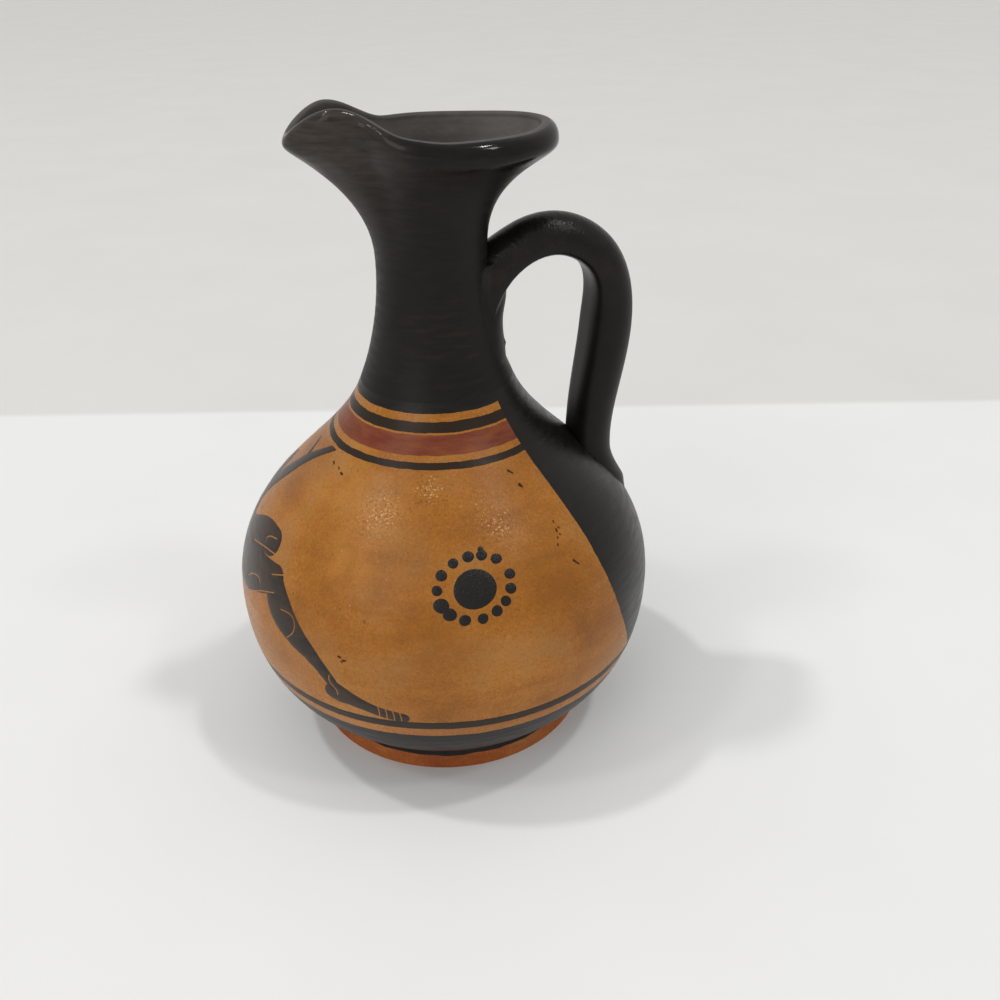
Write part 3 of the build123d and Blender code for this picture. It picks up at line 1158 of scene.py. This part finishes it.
def blob_rings():
    """Rings of a small blob of clay left on the tail."""
    turn = full_turn(blob_columns)
    rings = []
    for angle in np.linspace(blob_pole_radians, pi - blob_pole_radians, blob_rows):
        level = np.full(blob_columns, -1 / np.tan(angle))
        ring = np.column_stack([np.cos(turn), np.sin(turn), level]) * sin(angle)
        rings.append(np.array(clay_blob) + ring * clay_blob_size)
    return np.array(rings)


def jug_core(depth):
    """Filled form of body and neck, this deep under their outside."""
    body = outside_profile[outside_profile[:, 1] > belly_height] - (depth, 0)
    heights = np.linspace(seam_height, waist_height + core_reach, core_rows)[1:]
    neck = np.column_stack([neck_radius(heights) - depth, heights])
    line = np.vstack([[(cap_radius, belly_height)], body, neck, [(cap_radius, heights[-1])]])
    return capped_grid(turned(line, unmoved))


def make_handle():
    """Pulled strap with its tail, melted together and cut off inside the walls that it is pressed on."""
    vertices, faces = [], []
    for rings in (strap_rings(), tail_rings(), blob_rings()):
        first = len(vertices)
        form_vertices, form_faces = capped_grid(rings)
        vertices += form_vertices
        faces += [tuple(first + corner for corner in face) for face in form_faces]
    rough = mesh_object("rough_handle", vertices, faces)
    core = mesh_object("core", *jug_core(neck_wall / 2))
    remesh = rough.modifiers.new("melt", "REMESH")
    remesh.mode = "VOXEL"
    remesh.voxel_size = handle_voxel * METRES
    smooth = rough.modifiers.new("smooth", "SMOOTH")
    smooth.iterations = handle_smoothing
    cut = rough.modifiers.new("cut", "BOOLEAN")
    cut.object = core
    cut.operation = "DIFFERENCE"
    shape = rough.evaluated_get(bpy.context.evaluated_depsgraph_get())
    piece = add_object("handle_pulled", bpy.data.meshes.new_from_object(shape))
    bpy.data.objects.remove(rough)
    bpy.data.objects.remove(core)
    finish_piece(piece, handle_slip)
    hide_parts("handle", "upper_handle_luting", "lower_handle_luting")


make_foot()
make_body()
make_neck()
make_handle()


def local_scale(height):
    """Millimetres on the body for one degree round and one millimetre of height, at this height."""
    return np.column_stack([radians(1) * profile_radius(height), np.sqrt(1 + profile_lean(height) ** 2)])


def stroke_outline(stroke):
    """Closed outline of one brush stroke with round ends, from its (azimuth, height, half width) places."""
    places = np.array(stroke, float)
    scale = local_scale(places[:, 1])
    flat = places[:, :2] * scale
    length = np.linalg.norm(np.diff(flat, axis=0), axis=1).sum()
    count = max(least_stroke_points, int(length / outline_step))
    line = spline(chord_knots(flat), places, np.linspace(0, 1, count))
    scale = local_scale(line[:, 1])
    along = unit(np.gradient(line[:, :2], axis=0) * scale)
    across = np.column_stack([-along[:, 1], along[:, 0]]) * line[:, 2:]
    turn = np.linspace(0, pi, stroke_end_points)[1:-1, None]
    start_cap = across[0] * np.cos(turn) - along[0] * line[0, 2] * np.sin(turn)
    end_cap = -across[-1] * np.cos(turn) + along[-1] * line[-1, 2] * np.sin(turn)
    start = line[0, :2] + start_cap / scale[0]
    end = line[-1, :2] + end_cap / scale[-1]
    return np.vstack([start, (line[:, :2] - across / scale), end, (line[:, :2] + across / scale)[::-1]])


def dab_outline(azimuth, height, half_width, half_height, turn):
    """Closed outline of one dab of the brush, a slightly uneven oval."""
    angle = full_turn(max(least_dab_points, int(2 * pi * half_width / outline_step)))
    uneven = 1 + dab_waves[0] * np.sin(2 * angle + turn) + dab_waves[1] * np.sin(3 * angle + 2 * turn)
    oval = np.column_stack([half_width * np.cos(angle), half_height * np.sin(angle)]) * uneven[:, None]
    return np.array([azimuth, height]) + oval / local_scale(np.array([height]))


def smooth_outline(points):
    """Closed smooth outline through (azimuth, height) points."""
    points = np.array(points, float)
    knots = chord_knots(points * local_scale(points[:, 1]), closed=True)
    places = np.linspace(0, 1, points_per_corner * len(points), endpoint=False)
    return spline(knots, points, places, closed=True)


def is_inside(outlines, points):
    """Whether each point is in any of the outlines."""
    found = np.zeros(len(points), bool)
    for outline in outlines:
        crossed = np.zeros(len(points), bool)
        for (x, y), (next_x, next_y) in zip(outline, np.roll(outline, -1, axis=0)):
            spans = (y > points[:, 1]) != (next_y > points[:, 1])
            if spans.any():
                edge = x + (points[:, 1] - y) * (next_x - x) / (next_y - y)
                crossed ^= spans & (points[:, 0] < edge)
        found |= crossed
    return found


def paint_triangles(outlines, cuts):
    """Points and triangles that fill the outlines and leave out the cuts, in flattened millimetres."""
    loops = [outline * flat_scale for outline in outlines + cuts]
    points = np.vstack(loops)
    edges = []
    for loop in loops:
        first = len(edges)
        edges += [(first + index, first + (index + 1) % len(loop)) for index in range(len(loop))]
    low, high = points.min(axis=0), points.max(axis=0)
    columns, rows = (np.arange(start, end, fill_step) for start, end in zip(low, high))
    fill = np.array([(x, y) for x in columns for y in rows])
    fill = fill[is_inside(loops[: len(outlines)], fill)]
    corners = [Vector(point) for point in np.vstack([points, fill])]
    found = delaunay_2d_cdt(corners, edges, [], FILL_INSIDE, weld_distance)
    points = np.array(found[0])
    triangles = np.array([face for face in found[2] if len(face) == 3])
    middle = points[triangles].mean(axis=1)
    kept = is_inside(loops[: len(outlines)], middle)
    if cuts:
        kept &= ~is_inside(loops[len(outlines) :], middle)
    return points, triangles[kept]


def border_edges(triangles):
    """Directed edges that only one triangle has."""
    edges = {(a, b) for face in triangles.tolist() for a, b in zip(face, face[1:] + face[:1])}
    return sorted((a, b) for a, b in edges if (b, a) not in edges)


def add_paint(name, outlines, cuts, thickness, material):
    """Thin skin of paint on the body, closed all round, thinning out at its edges."""
    flat, triangles = paint_triangles(outlines, cuts)
    used, triangles = np.unique(triangles, return_inverse=True)
    triangles = triangles.reshape(-1, 3)
    place = flat[used] / flat_scale
    border = border_edges(triangles)
    ground = on_body(place[:, 0], place[:, 1], 0)
    tree = KDTree(len(border))
    for index, (start, _) in enumerate(border):
        tree.insert(ground[start], index)
    tree.balance()
    depth = np.array([tree.find(point)[2] for point in ground])
    lift = edge_lift + thickness * ease(depth / paint_edge)
    top = on_body(place[:, 0], place[:, 1], lift)
    bottom = on_body(place[:, 0], place[:, 1], -paint_root)
    count = len(top)
    faces = [tuple(face) for face in triangles.tolist()]
    faces += [tuple(count + corner for corner in reversed(face)) for face in triangles.tolist()]
    faces += [(count + a, count + b, b, a) for a, b in border]
    skin = mesh_object(name, np.vstack([top, bottom]), faces)
    finish_piece(skin, material)


def rosette_outlines(azimuth, side):
    """Disc with its ring of dots, as the brush left them; side is -1 for the mirrored one."""
    disc_height = rosette_height - rosette_disc_drop
    outlines = [dab_outline(azimuth, disc_height, *rosette_disc, rosette_disc_turn)]
    for index, clock in enumerate(rosette_clocks):
        angle = radians(clock)
        tilted = angle - radians(rosette_tilt)
        reach = 1 / np.hypot(sin(tilted) / rosette_ring[0], cos(tilted) / rosette_ring[1])
        scale = local_scale(np.array([rosette_height + reach * cos(angle) / 2]))[0]
        dot_height = rosette_height + reach * cos(angle) / scale[1]
        dot_azimuth = azimuth + side * reach * sin(angle) / scale[0]
        size = rosette_big_dots.get(index, rosette_dot * (1 + dot_variation * sin(3 * index)))
        outlines.append(dab_outline(dot_azimuth, dot_height, size, size * dot_flatness, index))
        if index == 0:
            touch_rise, touch_size = rosette_touch
            outlines.append(dab_outline(dot_azimuth, dot_height + touch_rise, touch_size, touch_size, 0))
    return outlines


def paint_body():
    """Figure, two rosettes and the small marks of the kiln on the panel."""
    figure = [stroke_outline(stroke) for stroke in figure_strokes] + [smooth_outline(head_outline)]
    cuts = [stroke_outline([place + (incision,) for place in line]) for line in figure_incisions]
    add_paint("painted_figure", figure, cuts, figure_thickness, brushed_paint)
    for name, azimuth, side in rosettes:
        add_paint(name, rosette_outlines(azimuth, side), [], dot_thickness, thick_paint)
    marks = [stroke_outline(stroke) for stroke in mark_strokes]
    add_paint("firing_marks", marks, [], mark_thickness, firing_mark)


paint_body()


def place_camera():
    """Camera at the photo's place, from its pitch, yaw and roll in the turned frame."""
    pitch, yaw, roll = radians(camera_pitch), radians(camera_yaw), radians(camera_roll)
    forward = Vector((sin(yaw) * cos(pitch), cos(yaw) * cos(pitch), -sin(pitch)))
    level = Vector((cos(yaw), -sin(yaw), 0))
    down = forward.cross(level)
    right = level * cos(roll) + down * sin(roll)
    up = level * sin(roll) - down * cos(roll)
    data = bpy.data.cameras.new("camera")
    data.sensor_width = sensor_width
    data.lens = sensor_width * focal_pixels / photo_width
    data.clip_start = camera_clip * METRES
    camera = add_object("camera", data)
    axes = Matrix((right, up, -forward)).transposed().to_4x4()
    place = Matrix.Translation(Vector((0, -camera_distance, camera_height)) * METRES)
    camera.matrix_world = Matrix.Rotation(-radians(handle_turn), 4, "Z") @ place @ axes
    bpy.context.scene.camera = camera


def make_floor():
    """Pale table, a little greyer beyond its back edge."""
    half = floor_half_width
    corners = [(-half, -half, 0), (half, -half, 0), (half, half, 0), (-half, half, 0)]
    floor = mesh_object("floor", corners, [(0, 1, 2, 3)])
    graph = Graph("pale_table")
    heading = radians(camera_yaw + handle_turn)
    along = graph.math("MULTIPLY_ADD", graph.y, cos(heading), graph.times(graph.x, sin(heading)))
    back_edge = table_depth - camera_distance * cos(radians(camera_yaw))
    beyond = graph.span(along, back_edge - table_edge_softness, back_edge + table_edge_softness, 0.0, 1.0)
    cloud = graph.vary(graph.noise(90, 3), 0.97, 1.0)
    colour = graph.mix(beyond, table_colour, wall_colour)
    colour = graph.mix(1.0, colour, cloud, "MULTIPLY")
    roughness = graph.vary(graph.noise(30, 2), 0.5, 0.6)
    floor.data.materials.append(graph.paint(colour, roughness, specular=0.1))


def add_lamp(name, direction, settings, kind="AREA"):
    """Lamp in this direction from the jug, facing it."""
    data = bpy.data.lights.new(name, kind)
    for setting, value in settings.items():
        setattr(data, setting, value)
    lamp = add_object(name, data)
    way = Vector(direction).normalized()
    lamp.location = (way * lamp_distance + Vector((0, 0, belly_height))) * METRES
    lamp.rotation_euler = way.to_track_quat("Z", "Y").to_euler()


def light_room():
    """Pale room all round, with two ceiling lights, two small lamps for the glints and a wide window."""
    bpy.context.scene.world = bpy.data.worlds.new("room")
    room = Nodes(bpy.context.scene.world)
    place = room.node("ShaderNodeTexCoord", {}).outputs["Generated"]
    rise = room.node("ShaderNodeSeparateXYZ", {0: place}).outputs["Z"]
    light = room.nodes["Background"]
    room.links.new(room.span(rise, 0.0, 1.0, room_low_light, room_high_light), light.inputs["Color"])
    backdrop = room.node("ShaderNodeBackground", {"Color": backdrop_colour})
    rays = room.node("ShaderNodeLightPath", {}).outputs
    seen = room.math("MAXIMUM", rays["Is Camera Ray"], rays["Is Glossy Ray"])
    seen = room.math("MAXIMUM", seen, rays["Is Transmission Ray"])
    choice = room.node("ShaderNodeMixShader", {0: seen, 1: light.outputs[0], 2: backdrop.outputs[0]})
    room.links.new(choice.outputs[0], room.nodes["World Output"].inputs["Surface"])
    for name, direction, strength in ceiling_lights:
        add_lamp(name, direction, {"energy": strength, "angle": radians(ceiling_light_angle)}, "SUN")
    for name, direction, size, watts in lamps:
        add_lamp(name, direction, {"energy": watts, "shape": "SQUARE", "size": size * METRES})


place_camera()
make_floor()
light_room()
bpy.context.scene.view_settings.view_transform = "Standard"
